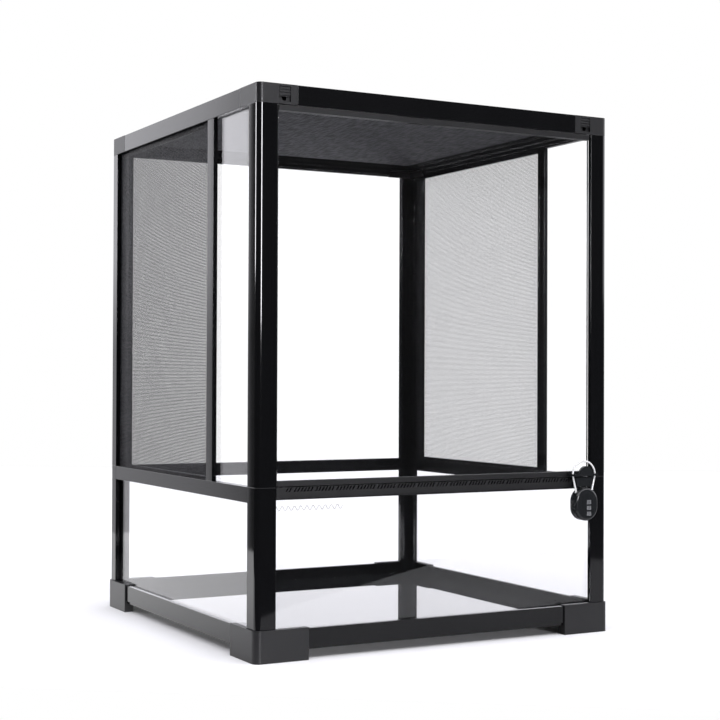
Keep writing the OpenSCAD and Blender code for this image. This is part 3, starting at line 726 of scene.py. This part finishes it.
def addFloor():
    bm = bmesh.new()
    level = -floorLook["under"] * mm
    bm.faces.new([bm.verts.new((x, y, level)) for x, y in floorLook["corners"]])
    mesh = bpy.data.meshes.new("floor")
    bm.to_mesh(mesh)
    bm.free()
    material, shade = newMaterial("floor_white")
    # painted reflection: only glossy rays see the floor dimmed and glowing towards the
    # back left
    mirrored = shade.add("LightPath", out="Is Glossy Ray") * (
        1 - shade.add("LightPath", out="Is Transmission Ray"))
    far = shade.dot(shade.coords(), heading(floorLook["glowWay"]))
    glow = shade.step(far, floorLook["glowFrom"], floorLook["glowTo"])
    white = floorLook["white"]
    plain = shade.blend(shade.noise(shade.coords(), floorLook["speck"], 2), white,
                        tuple(c * floorLook["speckTone"] for c in white))
    paintedDimReflection = tuple(c * floorLook["mirrored"] for c in white)
    matt = shade.add("BsdfDiffuse", {}, {"Color": shade.blend(mirrored, plain, paintedDimReflection)})
    light = shade.add("Emission", {}, {"Strength": mirrored * glow * floorLook["glow"]})
    shade.finish(shade.add("AddShader", {}, {0: matt, 1: light}))
    mesh.materials.append(material)
    floor = bpy.data.objects.new("floor", mesh)
    scene.collection.objects.link(floor)


studio = {
    "throughGlass": 1.24,  # white seen through panes, against what they take away
    "tint": (0.975, 0.97, 1.02),
    "dark": 0.06,  # unlit side of the room
    "top": 0.85, "topFrom": 34, "topTo": 56,  # elevation of the ceiling's light
    "back": 1.2, "backLeft": 114.45, "backRight": -15, "backSoft": 0.003,
    "glow": 1.0, "glowFrom": 90, "glowTo": 106,  # brighter towards the back's left end
    "lowShare": 0.4, "lowFrom": 0.09, "lowTo": 0.01,  # and dim towards the horizon
    "cardSoft": (0.02, 0.01),  # fade at the cards' sides and at their low and high edges
    "cardTurn": 0.1,           # and far from their middle
    "cards": [  # azimuth from, to, elevation from, to, level
        (131, 146, 4.0, 13, 24.0),
        (267, 279, 2.0, 13, 44.0),
        (318, 352, 3.0, 40, 2.0),
        (165, 245, 35.0, 57, 3.0),
        (245, 325, 35.0, 57, 3.7),
    ],
}


def heading(azimuth):
    return (math.cos(math.radians(azimuth)), math.sin(math.radians(azimuth)), 0)


def addWorld():
    world = bpy.data.worlds.new("studio")
    world.use_nodes = True
    scene.world = world
    shade = Shader(world.node_tree)
    ray = shade.add("TexCoord", out="Generated")
    up = shade.dot(ray, (0, 0, 1))
    soft = studio["backSoft"]
    back = (shade.step(shade.dot(ray, heading(studio["backLeft"] - 90)), -soft, soft)
            * shade.step(shade.dot(ray, heading(studio["backRight"] + 90)), -soft, soft))
    glow = shade.step(shade.dot(ray, (-1, 0, 0)),
                      -heading(studio["glowFrom"])[0], -heading(studio["glowTo"])[0])
    top = shade.step(up, math.sin(math.radians(studio["topFrom"])),
                     math.sin(math.radians(studio["topTo"])))
    above = (shade.step(up, studio["lowTo"], studio["lowFrom"])
             * (1 - studio["lowShare"]) + studio["lowShare"])
    level = studio["dark"] + back * above * (studio["back"] - studio["dark"]
                                             + glow * studio["glow"])
    level = level * (1 - top) + top * studio["top"]
    softSide, softTop = studio["cardSoft"]
    for start, end, low, high, bright in studio["cards"]:
        middle = (start + end) / 2
        front = shade.dot(ray, heading(middle))
        across = shade.dot(ray, heading(middle + 90)) / front.floor(0.01)
        rise = up / front.floor(0.01)  # never divided by nothing
        half = math.tan(math.radians((end - start) / 2))
        card = (shade.band(across, -half, half, softSide)
                * shade.band(rise, math.tan(math.radians(low)),
                             math.tan(math.radians(high)), softTop)
                * shade.step(front, 0.0, studio["cardTurn"]))
        level = level + card * bright
    depth = shade.add("LightPath", out="Ray Depth")
    passed = shade.add("LightPath", out="Transmission Depth")
    looked = (shade.add("LightPath", out="Is Camera Ray")
              + shade.add("LightPath", out="Is Transmission Ray")).ceiling(1.0)
    direct = looked * (2 - (depth - passed)).floor(0.0)  # only glass on the way
    seen = passed.ceiling(1.0) * (studio["throughGlass"] - 1) + 1
    level = seen * direct + (1 - direct) * level
    colour = shade.blend(direct, studio["tint"], (1, 1, 1))
    shade.finish(shade.add("Background", {}, {"Color": colour, "Strength": level}),
                 "OutputWorld")


addCamera()
addFloor()
addWorld()
print("stage")
